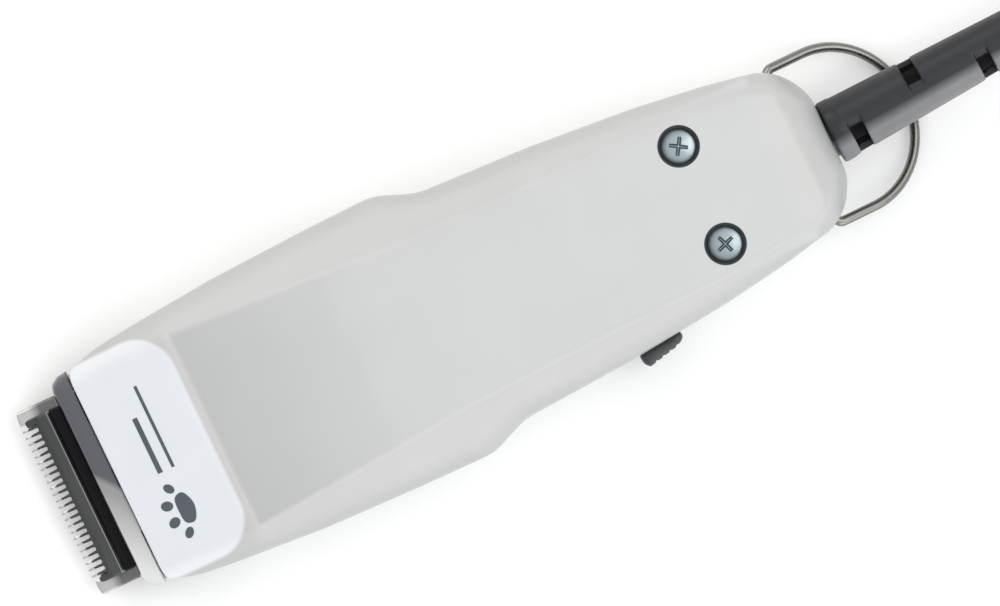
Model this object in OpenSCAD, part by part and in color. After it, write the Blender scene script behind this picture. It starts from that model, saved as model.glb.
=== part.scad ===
// Corded electric pet clipper, in millimetres.
// The origin is the middle of the flat underside, which rests on z = 0.
// The blade points to -X, the cord leaves towards +X, and the switch is on the -Y side.

/* [Housing] */
// Greatest width of the housing
body_w = 47.4; // [46.6:0.2:48.6]
// Greatest height of the housing
body_h = 33; // [32:0.5:35]
// Wall thickness of both shells
wall = 2; // [1.8:0.1:2.2]
// Height of the joint between the two shells
seam_z = 12; // [11.9:0.1:12.1]

/* [Blade set] */
// Width of the fixed comb blade
comb_w = 33.6; // [33:0.2:34]
// Distance from tooth to tooth
tooth_pitch = 1.16; // [1.1:0.02:1.18]
// Number of fine teeth between the two broad corner teeth
tooth_count = 24; // [20:2:24]

/* [Drive] */
// Turns of each return spring
spring_turns = 5; // [4:1:6]
// Gap between the armature and the poles
air_gap = 1.2; // [1.1:0.1:1.3]

/* [Cover screws] */
// Distance between the two screws
cover_screw_gap = 17.9; // [17:0.1:19]
// Diameter of the screw heads
cover_head_d = 6; // [5:0.1:6]

/* [Hanging loop] */
// Diameter of the wire
wire_d = 1.7; // [1.4:0.1:1.7]
// Width of the loop between the middles of its wires
loop_w = 28.2; // [28:0.1:28.6]
// Length of the loop from its pivot
loop_l = 21.2; // [18:0.2:21.2]

/* [Cord] */
// Diameter of the mains cord
cord_d = 6; // [5.6:0.1:6]
// Diameter of the strain relief where it leaves the housing
relief_d = 10.8; // [10:0.1:11]
// Length of the strain relief outside the housing
relief_l = 57.3; // [57:0.1:57.3]

/* [Hidden] */
$fn = 48;

// Places along the object
tip_x = -71;
trim_x = -63.5;
cover_x = -59.7;
rear_x = 71.8;
deck_x = -55.5;
comb_rear_x = -48;
blade_screw_x = -52;
blade_screw_y = 11;
pivot_x = 33;
finger_x = -58;
core_x = -14;
spring_x = 12;
cover_screw_x = 48.2;
switch_x = 30.8;
loop_x = 66.8;
clamp_x = 58;

// Heights
comb_z = 2.4;
comb_top = 4.8;
cutter_z = 4.9;
cutter_rear_top = 6.1;
cutter_top = 7;
driver_top = 9.4;
nose_z = 7.6;
power_z = 8;
loop_z = 9;
relief_z = seam_z;
stack_z = 9;
stack_h = 12;

// Angles
relief_yaw = 3;
switch_yaw = 5.4;
loop_pitch = 22.3;

// Fits and clearances
hinge_gap = 0.05;

// The housing's half width against x, up to the round corners at the rear
outline = [
    [cover_x, 19.85], [-54.5, 20.75], [-45.5, 21.7], [-31.3, 22.85], [-14.7, 23.45],
    [-3.2, 23.7], [0.4, 23.3], [4.2, 21.5], [7, 20.8], [25.6, 19.8], [44.6, 18], [56.4, 16.3],
    [63.6, 14.6]
];
rear_round = 7.5;
rear_flat = 7.1;

// The top panel against x: its half width and its height
panel = [
    [-66, 17.4, 10.5], [cover_x, 17.2, 15.6], [-43.5, 17.6, 28.8], [-40.5, 17.4, 29.8],
    [-14.7, 15.7, 33], [-2, 14.5, 32.7], [25.6, 13.9, 30.6], [44.6, 13.8, 28.6],
    [62, 12.8, 26.7], [67, 10.6, 26], [72, 5, 19.4]
];
side_slope = 1.19;

// The underside against x
belly = [[-70, 4.8], [-47.2, 4.8], [-45.4, 0], [66, 0], [69.6, 1.6], [72, 4.6]];
lower_inset = 0.9;

// ---- Functions ----
function half_width(x) = body_w / 47.4 * lookup(x, outline);

// The outline of a shell seen from above, moved in by t, with its round rear corners
function plan_half(t) = concat(
    [for (p = outline) [p.x, body_w / 47.4 * p.y - t]],
    [for (a = [10:10:90])
        [rear_x - rear_round + (rear_round - t) * sin(a), rear_flat + (rear_round - t) * cos(a)]]
);
function mirrored(half) = [for (i = [len(half) - 1:-1:0]) [half[i].x, -half[i].y]];

function unit(v) = v / norm(v);

// The points of a smooth curve through a route, n to each stretch
function curve_point(p, i, t) =
    let(
        last = len(p) - 1,
        a = p[max(i - 1, 0)],
        b = p[i],
        c = p[i + 1],
        d = p[min(i + 2, last)]
    )
    0.5 * (2 * b + t * (c - a) + t * t * (2 * a - 5 * b + 4 * c - d)
        + t * t * t * (3 * b - a - 3 * c + d));
function curve(p, n) =
    concat([for (i = [0:len(p) - 2], k = [0:n - 1]) curve_point(p, i, k / n)], [p[len(p) - 1]]);

// The hand-chosen route of the cord from the strain relief to its hank, and from there to the plug
lead_route = [
    [129, 3, 12], [137, 3.4, 11.8], [146, 5, 9.8], [155, 9, 6.2], [164, 14, 3.8], [173, 19, 3],
    [182, 23, 3]
];
tail_route = [
    [178.3, 13.8, 15.3], [190, 18.3, 17.6], [201, 17, 20.8], [212, 12, 22.3], [222, 6.5, 22.6],
    [231, 2.4, 23.4], [239, 0.2, 24.7], [245, 0, 25]
];
hank_x = [190, 268];
hank_half = 27;
hank_waist = 15;
hank_h = 18;
tie_w = 8;
tie_t = 1;
plug_z = 25;
plug_x = 246;
plug_l = 31;
plug_w = 26;
plug_h = 13.7;
pin_d = 4;
pin_gap = 18.6;

// ---- Shared solids ----

// A closed body through rings of points
module loft(rings) {
    n = len(rings[0]);
    last = len(rings) - 1;
    polyhedron(
        points = [for (ring = rings, p = ring) p],
        faces = concat(
            [[for (j = [0:n - 1]) j]],
            [[for (j = [n - 1:-1:0]) last * n + j]],
            [for (i = [0:last - 1], j = [0:n - 1]) [i * n + j, (i + 1) * n + j, (i + 1) * n + (j + 1) % n]],
            [for (i = [0:last - 1], j = [0:n - 1]) [i * n + j, (i + 1) * n + (j + 1) % n, i * n + (j + 1) % n]]
        )
    );
}

// A round tube through points, with its rings kept upright about up
module tube(points, d, sides = 8, up = [0, 0, 1]) {
    last = len(points) - 1;
    rings = [
        for (i = [0:last])
            let(
                along = unit(points[min(i + 1, last)] - points[max(i - 1, 0)]),
                side = unit(cross(along, up)),
                top = cross(side, along)
            )
            [for (k = [0:sides - 1]) points[i] + d / 2 * (cos(360 * k / sides) * side + sin(360 * k / sides) * top)]
    ];
    loft(rings);
}

// A shell's outline from above as a solid, from z = low to z = high
module plan(t, low, high) {
    half = plan_half(t);
    translate([0, 0, low]) linear_extrude(high - low) polygon(concat(half, mirrored(half)));
}

// Everything below the top panel and its sloping sides, moved in by t
module roof(t) {
    far = 30;
    loft([
        for (p = panel)
            let(y = body_w / 47.4 * p.y - 0.5 * t, z = body_h / 33 * p.z - t, edge = z - side_slope * (far - y))
            [[p.x, far, -20], [p.x, far, edge], [p.x, y, z], [p.x, -y, z], [p.x, -far, edge], [p.x, -far, -20]]
    ]);
}

// Everything above the underside, moved in by t
module above_belly(t) {
    translate([0, 40, 0]) rotate([90, 0, 0]) linear_extrude(80)
        polygon(concat([for (p = belly) [p.x, p.y + t]], [[72, 30], [-70, 30]]));
}

module upper_shell() {
    difference() {
        intersection() {
            plan(0, seam_z, 40);
            roof(0);
        }
        intersection() {
            plan(wall, seam_z - 1, 39);
            roof(wall);
        }
        block([cover_x - 1, -15, seam_z - 1], [cover_x + 3, 15, seam_z + 1.4]);
    }
}

module lower_shell() {
    difference() {
        intersection() {
            plan(lower_inset, -1, seam_z);
            above_belly(0);
        }
        intersection() {
            plan(lower_inset + wall, 0, seam_z + 1);
            above_belly(wall + 0.2);
        }
    }
}

// A cube given by its lowest and highest corners
module block(low, high) {
    translate(low) cube(high - low);
}

module y_cylinder(x, y, z, r, h) {
    translate([x, y, z]) rotate([-90, 0, 0]) cylinder(r = r, h = h);
}

module post(x, y, z, r, h) {
    translate([x, y, z]) cylinder(r = r, h = h);
}

// A pan-head screw, head up, with its seat at the origin and its shank going down
module pan_screw(head_d, head_h, shank_d, length) {
    difference() {
        union() {
            cylinder(d = head_d, h = head_h);
            translate([0, 0, -length]) cylinder(d = shank_d, h = length + 0.1);
        }
        for (a = [0, 90])
            rotate([0, 0, a]) block([-0.32 * head_d, -0.07 * head_d, 0.45 * head_h], [0.32 * head_d, 0.07 * head_d, head_h + 1]);
    }
}

// The same places on both sides of the middle
module both_sides(y) {
    for (s = [-1, 1]) translate([0, s * y, 0]) children();
}

// The strain relief's frame: its axis along +X from the rear wall
module at_relief() {
    translate([rear_x, 0, relief_z]) rotate([0, 0, relief_yaw]) children();
}

// The loop's frame: its plane flat, before the pivot pitches it down to the ground
module at_loop() {
    translate([loop_x, 0, loop_z]) rotate([0, loop_pitch, 0]) children();
}

// The switch's frame: X along the side wall, Y out of it towards the inside
module at_switch() {
    translate([switch_x, -half_width(switch_x) + lower_inset - 0.1, 7.6]) rotate([0, 0, switch_yaw]) children();
}

// ---- Housing ----
boss_r = 3.6;
cover_boss_r = 4.4;
shank_d = 2.9;
recess_r = 3.5;
recess_z = 26.2;
relief_neck_r = 4;
switch_screw_x = [-10.4, 8.4];
switch_screw_y = 6.2;

module top_cover() {
    color([0.84, 0.84, 0.82])
    difference() {
        union() {
            upper_shell();
            both_sides(cover_screw_gap / 2) post(cover_screw_x, 0, seam_z, cover_boss_r, 27 - seam_z);
        }
        both_sides(cover_screw_gap / 2) {
            post(cover_screw_x, 0, seam_z - 1, shank_d / 2 + 0.2, 30);
            post(cover_screw_x, 0, recess_z - 0.6, recess_r, 20);
        }
        at_relief() translate([-10, 0, 0]) rotate([0, 90, 0]) cylinder(r = relief_neck_r + 0.1, h = 20);
    }
}

module bottom_housing() {
    color([0.82, 0.82, 0.8])
    difference() {
        union() {
            lower_shell();
            both_sides(cover_screw_gap / 2) post(cover_screw_x, 0, 1, boss_r, seam_z - 1);
            both_sides(blade_screw_y) post(blade_screw_x, 0, 5, 2.8, 5);
            post(pivot_x, 0, 1, 4.2, 3.8);
            both_sides(6) post(clamp_x, 0, 1, 2.4, seam_z - 1);
            for (x = [core_x - 14, core_x + 14]) post(x, -15.2, 1, 3, stack_z - 1);
            block([spring_x - 4, -13, 1], [spring_x + 4, -11, 12]);
            y_cylinder(spring_x, 13, power_z, 3.8, half_width(spring_x) - 14.5);
            for (s = [-1, 1]) block([-42, min(s * 2.9, s * 6.5), 1], [-39, max(s * 2.9, s * 6.5), 10]);
            at_switch() for (x = switch_screw_x) post(x, switch_screw_y, -6.4, 1.7, 3.2);
        }
        // the nose is open below for the cutter
        block([-70, -17.2, 0], [deck_x, 17.2, nose_z + 3]);
        block([-70, -40, 0], [deck_x, 40, nose_z]);
        both_sides(cover_screw_gap / 2) post(cover_screw_x, 0, 3.5, shank_d / 2 + 0.05, 20);
        both_sides(blade_screw_y) post(blade_screw_x, 0, 0, 1.3, 12);
        post(pivot_x, 0, 0.8, 2, 10);
        both_sides(6) post(clamp_x, 0, 4, 1.15, 20);
        for (x = [core_x - 14, core_x + 14]) post(x, -15.2, 2, 1.35, 20);
        y_cylinder(spring_x, 8, power_z, 2.5 + hinge_gap, 20);
        at_relief() translate([-10, 0, 0]) rotate([0, 90, 0]) cylinder(r = relief_neck_r + 0.1, h = 20);
        at_switch() block([-7.1, -6, -2], [3.1, 4, 2]);
        at_switch() for (x = switch_screw_x) post(x, switch_screw_y, -6, 0.75, 6);
        y_cylinder(loop_x, -30, loop_z, wire_d / 2 + hinge_gap, 60);
        // dimples for the loop's elbows
        y_cylinder(loop_x, 12.3, loop_z, 2.2, 10);
        y_cylinder(loop_x, -22.3, loop_z, 2.2, 10);
        block([-16, -8, -1], [16, 8, 0.3]);
    }
}

module rating_plate() {
    color([0.75, 0.76, 0.77])
    block([-15.8, -7.8, 0], [15.8, 7.8, 0.3]);
}

// The trim's solid: its outline from above and its side profile, both moved in by t
module trim_solid(t, low) {
    half = [
        [cover_x + 2 * t, 19.6 - t], [-61.6 + t, 19.2 - t], [-62.9 + t, 18.4 - t],
        [trim_x + t, 17.2 - t]
    ];
    intersection() {
        linear_extrude(20) polygon(concat(half, mirrored(half)));
        translate([0, 30, 0]) rotate([90, 0, 0]) linear_extrude(60) polygon([
            [cover_x + 2 * t, low], [cover_x + 2 * t, 15.4 - t + 1.4 * t],
            [-63.1 + t, 10.8 - 0.6 * t], [trim_x + t, 9.8 - 0.6 * t], [trim_x + t, low]
        ]);
    }
}

module nose_trim() {
    color([0.72, 0.73, 0.75])
    difference() {
        trim_solid(0, nose_z);
        trim_solid(1, nose_z - 1);
    }
}

module cover_screws() {
    color([0.62, 0.68, 0.7])
    both_sides(cover_screw_gap / 2) translate([cover_screw_x, 0, recess_z - 0.6]) difference() {
        union() {
            cylinder(d = cover_head_d, h = 0.9);
            translate([0, 0, 0.9]) intersection() {
                translate([0, 0, -3.2]) sphere(r = 4.32, $fn = 64);
                cylinder(d = cover_head_d, h = 3);
            }
            translate([0, 0, -20]) cylinder(d = shank_d, h = 20.1);
        }
        for (a = [20, 110]) rotate([0, 0, a]) block([-1.9, -0.4, 0.9], [1.9, 0.4, 4]);
    }
}

// ---- Blade set ----

// The outline of a blade seen from above: teeth to -X, broad corners when corner_y is given
module tooth_outline(tip, root, rear, half, tooth, corner_y) {
    span = tooth_pitch * tooth_count / 2;
    teeth = [
        for (i = [0:tooth_count - 1])
            let(y = -span + tooth_pitch * (i + 0.5))
            each [
                [root, y - 0.5 * tooth_pitch + 0.12], [root, y - tooth / 2], [tip, y - 0.16],
                [tip, y + 0.16], [root, y + tooth / 2]
            ]
    ];
    edge = corner_y > 0
        ? [[root, -span - 0.2], [tip + 0.9, -span - 0.5], [tip + 0.5, -span - 1.4], [tip + 1.2, -half]]
        : [[root, -half]];
    mirrored = [for (i = [len(edge) - 1:-1:0]) [edge[i].x, -edge[i].y]];
    polygon(concat([[rear, half - 2], [rear, -half + 2], [rear - 2, -half]],
        [for (i = [len(edge) - 1:-1:0]) edge[i]], teeth, [for (i = [len(mirrored) - 1:-1:0]) mirrored[i]],
        [[rear - 2, half]]));
}

// A solid with one outline from above and another from the side
module blade(profile, half) {
    intersection() {
        linear_extrude(20) children();
        translate([0, half + 1, 0]) rotate([90, 0, 0]) linear_extrude(2 * half + 2) polygon(profile);
    }
}

module comb_blade() {
    color([0.55, 0.56, 0.57])
    difference() {
        blade([[tip_x, 4.15], [tip_x, 4.55], [tip_x + 0.6, comb_top], [comb_rear_x, comb_top],
               [comb_rear_x, comb_z], [tip_x + 6, comb_z]], comb_w / 2)
            tooth_outline(tip_x, -66.6, comb_rear_x, comb_w / 2, 0.62, 1);
        both_sides(blade_screw_y) post(blade_screw_x, 0, 0, 1.5, 10);
    }
}

module cutter_blade() {
    color([0.3, 0.31, 0.32])
    blade([[-69.9, cutter_z], [-69.9, 5.3], [-68.1, 6.8], [-67.6, cutter_top], [-65.8, cutter_top],
           [-65.3, 6.6], [-65.3, cutter_rear_top], [-56.5, cutter_rear_top], [-56.5, cutter_z]], 14.9)
        tooth_outline(-69.9, -68.2, -56.5, 14.9, 0.56, 0);
}

module blade_screws() {
    color([0.6, 0.6, 0.62])
    both_sides(blade_screw_y) translate([blade_screw_x, 0, comb_z]) rotate([180, 0, 0]) pan_screw(4.8, 1.6, 2.5, 8.6);
}

module cutter_driver() {
    color([0.12, 0.12, 0.13])
    difference() {
        block([-61.2, -8, cutter_rear_top], [-56.6, 8, driver_top]);
        block([finger_x - 1.8, -1.6, 7], [-56, 1.6, 12]);
    }
}

module tension_spring() {
    color([0.5, 0.51, 0.52])
    union() {
        difference() {
            block([-55, -14, 10], [-49, 14, 10.4]);
            both_sides(blade_screw_y) post(blade_screw_x, 0, 0, 1.3, 20);
        }
        both_sides(6) translate([0, 2, 0]) rotate([90, 0, 0]) linear_extrude(4)
            polygon([[-54.9, 10], [-54.9, 10.4], [-60, 9.95], [-60, 9.55]]);
    }
}

// ---- Drive ----
lever_t = 3;
yoke_y = -17.5;
pole_y = -lever_t / 2 - 4 - air_gap;
leg_x = 4;
stack_half = 16;

module stator_core() {
    color([0.35, 0.36, 0.38])
    translate([core_x, 0, stack_z]) difference() {
        linear_extrude(stack_h) polygon([
            [-stack_half, yoke_y], [stack_half, yoke_y], [stack_half, pole_y], [stack_half - 4, pole_y],
            [stack_half - 4, -13], [leg_x, -13], [leg_x, pole_y], [-leg_x, pole_y], [-leg_x, -13],
            [4 - stack_half, -13], [4 - stack_half, pole_y], [-stack_half, pole_y]
        ]);
        for (x = [-14, 14]) translate([x, -15.2, -1]) cylinder(r = 1.5, h = stack_h + 2);
    }
}

module core_screws() {
    color([0.6, 0.6, 0.62])
    for (x = [-14, 14])
        translate([core_x + x, -15.2, stack_z + stack_h]) pan_screw(4.6, 1.5, 2.6, 16);
}

// A square sleeve round the core's middle leg, from y0 to y1
module leg_sleeve(inner, outer, y0, y1) {
    difference() {
        block([core_x - leg_x - outer, y0, stack_z - outer], [core_x + leg_x + outer, y1, stack_z + stack_h + outer]);
        block([core_x - leg_x - inner, y0 - 1, stack_z - inner], [core_x + leg_x + inner, y1 + 1, stack_z + stack_h + inner]);
    }
}

module coil_bobbin() {
    color([0.15, 0.15, 0.16])
    union() {
        leg_sleeve(0.1, 0.8, -12.8, -7.2);
        leg_sleeve(0.1, 6.6, -12.8, -12);
        leg_sleeve(0.1, 6.6, -8, -7.2);
    }
}

module coil_winding() {
    color([0.7, 0.35, 0.16])
    leg_sleeve(0.85, 6.2, -11.95, -8.05);
}

module drive_lever() {
    color([0.66, 0.67, 0.69])
    difference() {
        union() {
            post(pivot_x, 0, 5, 4.6, 12);
            block([-34, -lever_t / 2, 6], [pivot_x - 3, lever_t / 2, 17]);
            block([finger_x, -lever_t / 2, 11.2], [-33, lever_t / 2, 13.2]);
            post(finger_x, 0, 7.2, 1.5, 6);
        }
        post(pivot_x, 0, 0, 2 + hinge_gap, 30);
        for (x = [core_x - 11, core_x + 11]) y_cylinder(x, -3, 12, 1.05, 6);
    }
}

module armature_block() {
    color([0.38, 0.39, 0.4])
    difference() {
        block([core_x - stack_half, -lever_t / 2 - 4, stack_z], [core_x + stack_half, -lever_t / 2, stack_z + stack_h - 4]);
        for (x = [core_x - 11, core_x + 11]) y_cylinder(x, -6, 12, 1.05, 6);
    }
}

module armature_rivets() {
    color([0.7, 0.7, 0.72])
    for (x = [core_x - 11, core_x + 11]) {
        y_cylinder(x, -lever_t / 2 - 3.4, 12, 1, lever_t + 3.4);
        y_cylinder(x, lever_t / 2, 12, 2, 0.9);
    }
}

module pivot_pin() {
    color([0.74, 0.75, 0.77])
    difference() {
        post(pivot_x, 0, 0.8, 2, 18.2);
        translate([pivot_x, 0, 17.6]) difference() {
            cylinder(r = 3, h = 0.5);
            translate([0, 0, -1]) cylinder(r = 1.6, h = 3);
        }
    }
}

module pivot_clip() {
    color([0.4, 0.41, 0.42])
    translate([pivot_x, 0, 17.62]) difference() {
        cylinder(r = 3.4, h = 0.46);
        translate([0, 0, -1]) cylinder(r = 1.62, h = 3);
        block([0, -1.2, -1], [5, 1.2, 2]);
    }
}

// A coil spring along Y from y0 to y1
module y_spring(y0, y1) {
    n = spring_turns * 10;
    tube(
        [for (i = [0:n]) [spring_x + 2.3 * cos(36 * i), y0 + (y1 - y0) * i / n, power_z + 2.3 * sin(36 * i)]],
        0.6, 6, [0, 1, 0.001]
    );
}

module return_springs() {
    color([0.68, 0.69, 0.7])
    union() {
        y_spring(-10.6, -2.3);
        y_spring(2.3, 8.6);
    }
}

module power_screw() {
    outer = half_width(spring_x) - 1.4;
    color([0.62, 0.63, 0.65])
    difference() {
        union() {
            y_cylinder(spring_x, 9, power_z, 3.2, 1.6);
            y_cylinder(spring_x, 10, power_z, 2.5, outer - 10);
        }
        block([spring_x - 3, outer - 1, power_z - 0.45], [spring_x + 3, outer + 1, power_z + 0.45]);
    }
}

module bump_stops() {
    color([0.08, 0.08, 0.08])
    for (s = [-1, 1]) block([-42, min(s * 2.9, s * 5), 10], [-39, max(s * 2.9, s * 5), 14]);
}

// ---- Switch ----
module switch_slider() {
    color([0.27, 0.28, 0.3])
    at_switch() union() {
        translate([0, -0.3, -3.8]) linear_extrude(7.6)
            polygon([[-3.4, 0], [4.6, 0], [4.6, -1.4], [2.8, -2.1], [-2.6, -2.8], [-3.4, -2.2]]);
        block([-2.8, -0.4, -1.7], [2.8, 2.9, 1.7]);
        block([-4.6, 2.5, -3.4], [4.6, 3.3, 3.4]);
    }
}

module switch_body() {
    color([0.1, 0.1, 0.11])
    at_switch() difference() {
        union() {
            block([-9, 3.6, -3.2], [7, 8.8, 4]);
            for (x = switch_screw_x) post(x, switch_screw_y, -3.2, 2, 1.4);
        }
        for (x = switch_screw_x) post(x, switch_screw_y, -5, 0.8, 5);
    }
}

module switch_screws() {
    color([0.6, 0.6, 0.62])
    at_switch() for (x = switch_screw_x) translate([x, switch_screw_y, -1.8]) pan_screw(2, 0.8, 1.4, 4);
}

// ---- Hanging loop ----
// Points along an arc about (x, y), in the loop's plane
function arc_points(x, y, radius, from, to, n) =
    [for (i = [0:n]) let(a = from + (to - from) * i / n) [x + radius * cos(a), y + radius * sin(a)]];

// A wire in the loop's plane: straight pieces that overlap a little at every bend
module flat_wire(points) {
    elbow = 0.3;
    for (i = [0:len(points) - 2]) {
        run = points[i + 1] - points[i];
        translate(points[i]) rotate([0, 0, atan2(run.y, run.x)]) rotate([0, 90, 0])
            translate([0, 0, -elbow]) cylinder(d = wire_d, h = norm(run) + 2 * elbow);
    }
}

module hanging_loop() {
    half = loop_w / 2;
    bend = 1.3;
    pivot_l = 3.6;
    pivot_out = half - 0.7;
    straight_l = 7.5;
    right = concat(
        arc_points(bend, half - bend, bend, 150, 90, 1),
        [for (a = [0, 24, 48, 70, 90]) [straight_l + (loop_l - straight_l) * sin(a), half * cos(a)]]
    );
    left = [for (i = [len(right) - 2:-1:0]) [right[i].x, -right[i].y]];
    color([0.66, 0.65, 0.63])
    at_loop() union() {
        flat_wire(concat(right, left));
        for (y = [-pivot_out, pivot_out - pivot_l]) y_cylinder(0, y, 0, wire_d / 2, pivot_l);
    }
}

// ---- Cord ----
module strain_relief() {
    color([0.27, 0.28, 0.31])
    at_relief() difference() {
        rotate([0, 90, 0]) union() {
            translate([0, 0, 0.32]) cylinder(d1 = relief_d, d2 = 7.5, h = relief_l - 0.32);
            translate([0, 0, -wall - 1.4]) cylinder(r = relief_neck_r, h = wall + 1.9);
            translate([0, 0, -wall - 3.4]) cylinder(r = 5.6, h = 2.1);
        }
        // pockets down to the cord, on one side and the other in turn
        for (i = [0:4]) difference() {
            s = i % 2 == 0 ? -1 : 1;
            block([3.4 + 12 * i, min(s * 0.9, s * 8), -1.2], [5.9 + 12 * i, max(s * 0.9, s * 8), 8]);
            rotate([0, 90, 0]) cylinder(d = cord_d, h = relief_l);
        }
    }
}

module inner_cord() {
    color([0.2, 0.2, 0.22])
    translate([54, 0, relief_z]) rotate([0, 90, 0]) cylinder(d = cord_d, h = 12.2);
}

module cord_clamp() {
    color([0.16, 0.16, 0.17])
    difference() {
        block([clamp_x - 3, -8.6, seam_z], [clamp_x + 3, 8.6, seam_z + 5]);
        translate([clamp_x - 5, 0, relief_z]) rotate([0, 90, 0]) cylinder(d = cord_d + 0.1, h = 10);
        both_sides(6) post(clamp_x, 0, 0, 1.4, 30);
    }
}

module clamp_screws() {
    color([0.6, 0.6, 0.62])
    both_sides(6) translate([clamp_x, 0, seam_z + 5]) pan_screw(4.2, 1.4, 2.2, 12);
}

module lead_wires() {
    color([0.35, 0.2, 0.12])
    union() {
        tube(curve([[54, -1.2, 13], [48, -2.5, 11], [42, -6, 9], [37, -10, 9]], 4), 1.6, 6);
        tube(curve([[54, 1.2, 13], [48, 2.4, 14], [40, 6.5, 16], [26, 9, 20], [8, 6, 25], [-3.5, -4, 26.5], [-7, -7.1, 26.2]], 4), 1.6, 6);
    }
}

module cord_lead() {
    color([0.2, 0.2, 0.22])
    tube(curve(lead_route, 3), cord_d, 10);
}

module cord_tail() {
    color([0.2, 0.2, 0.22])
    tube(curve(tail_route, 2), cord_d, 10);
}

// The outside of the strap round the hank's waist, from x0 to x1
module tie_box(grow) {
    mid = (hank_x[0] + hank_x[1]) / 2;
    block([mid - tie_w / 2, -hank_waist - grow, 0], [mid + tie_w / 2, hank_waist + grow, hank_h + grow]);
}

module cord_hank() {
    mid = (hank_x[0] + hank_x[1]) / 2;
    near = [[31, 25.8], [19, 20.4], [10, hank_waist + 1.2], [5, hank_waist]];
    flank = concat([for (p = near) [-p.x, p.y]], [for (i = [3:-1:0]) near[i]]);
    color([0.2, 0.2, 0.22])
    difference() {
        union() {
            for (x = hank_x) post(x, 0, 0, hank_half, hank_h);
            linear_extrude(hank_h) polygon([for (p = concat(flank, mirrored(flank))) [mid + p.x, p.y]]);
        }
        block([mid - tie_w / 2, -40, -1], [mid + tie_w / 2, 40, tie_t]);
    }
}

module cord_tie() {
    color([0.05, 0.05, 0.05])
    difference() {
        tie_box(tie_t);
        block([0, -hank_waist, tie_t], [400, hank_waist, hank_h]);
    }
}

module plug_body() {
    color([0.2, 0.2, 0.22])
    translate([plug_x, 0, plug_z]) difference() {
        union() {
            translate([0, 0, -plug_h / 2]) linear_extrude(plug_h) polygon([
                [0, -6.5], [9, -9], [20, -plug_w / 2], [plug_l, -plug_w / 2], [plug_l, plug_w / 2],
                [20, plug_w / 2], [9, 9], [0, 6.5]
            ]);
            translate([-9, 0, 0]) rotate([0, 90, 0]) cylinder(d1 = 8, d2 = 10, h = 9.5);
            for (s = [-1, 1]) translate([plug_l - 0.1, s * pin_gap / 2, 0]) rotate([0, 90, 0]) cylinder(d = pin_d, h = 10.1);
        }
        for (s = [-1, 1]) translate([plug_l - 6, s * pin_gap / 2, 0]) rotate([0, 90, 0]) cylinder(d = 2.8, h = 30);
        translate([-10, 0, 0]) rotate([0, 90, 0]) cylinder(d = cord_d, h = 3);
    }
}

module plug_pins() {
    color([0.8, 0.74, 0.55])
    for (s = [-1, 1]) translate([plug_x + plug_l, s * pin_gap / 2, plug_z]) rotate([0, 90, 0]) {
        translate([0, 0, -6]) cylinder(d = 2.8, h = 16.1);
        translate([0, 0, 10]) cylinder(d = pin_d, h = 8);
        translate([0, 0, 18]) cylinder(d1 = pin_d, d2 = 2.4, h = 1);
    }
}

top_cover();
bottom_housing();
nose_trim();
cover_screws();
comb_blade();
cutter_blade();
blade_screws();
cutter_driver();
tension_spring();
stator_core();
coil_bobbin();
coil_winding();
core_screws();
drive_lever();
armature_block();
armature_rivets();
pivot_pin();
pivot_clip();
return_springs();
power_screw();
bump_stops();
switch_slider();
switch_body();
switch_screws();
hanging_loop();
strain_relief();
inner_cord();
cord_clamp();
clamp_screws();
lead_wires();
rating_plate();
cord_lead();
cord_hank();
cord_tail();
cord_tie();
plug_body();
plug_pins();
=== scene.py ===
"""The looks of a corded electric pet clipper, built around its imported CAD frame.

Shapes are worked out in millimetres in the row frame: the blade points to -X, the cord leaves
towards +X, and the thumb switch is on the -Y side. Meshes are scaled to metres when made.
"""

import math

import bmesh
import bpy
import numpy as np
from mathutils import Matrix, Vector


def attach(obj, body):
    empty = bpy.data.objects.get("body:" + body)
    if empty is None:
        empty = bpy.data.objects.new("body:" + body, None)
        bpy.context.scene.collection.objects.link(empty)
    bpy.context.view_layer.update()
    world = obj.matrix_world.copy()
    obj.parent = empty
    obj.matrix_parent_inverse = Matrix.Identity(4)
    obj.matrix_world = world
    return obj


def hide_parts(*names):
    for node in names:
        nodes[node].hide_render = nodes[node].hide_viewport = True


MM = 0.001
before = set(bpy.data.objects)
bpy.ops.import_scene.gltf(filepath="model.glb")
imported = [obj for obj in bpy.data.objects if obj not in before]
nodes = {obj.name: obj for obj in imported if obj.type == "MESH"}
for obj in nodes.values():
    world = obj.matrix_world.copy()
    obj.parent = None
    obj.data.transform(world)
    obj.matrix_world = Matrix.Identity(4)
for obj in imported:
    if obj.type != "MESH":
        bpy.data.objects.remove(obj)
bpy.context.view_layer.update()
FINE = 1.0


# ---- Materials ----
def new_material(name):
    material = bpy.data.materials.new(name)
    material.use_nodes = True
    return material, material.node_tree, material.node_tree.nodes["Principled BSDF"]


def node(tree, kind, **inputs):
    """A shader node with some of its sockets set."""
    made = tree.nodes.new(kind)
    for key, value in inputs.items():
        made.inputs[key.replace("_", " ")].default_value = value
    return made


def object_noise(tree, stretch, scale, detail=4.0):
    """Noise in the object's own metres, finer where stretch is larger."""
    place = tree.nodes.new("ShaderNodeTexCoord")
    mapping = tree.nodes.new("ShaderNodeMapping")
    mapping.inputs["Scale"].default_value = stretch
    noise = node(tree, "ShaderNodeTexNoise", Scale=scale, Detail=detail, Roughness=0.55)
    tree.links.new(place.outputs["Object"], mapping.inputs["Vector"])
    tree.links.new(mapping.outputs["Vector"], noise.inputs["Vector"])
    return noise.outputs["Fac"]


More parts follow.
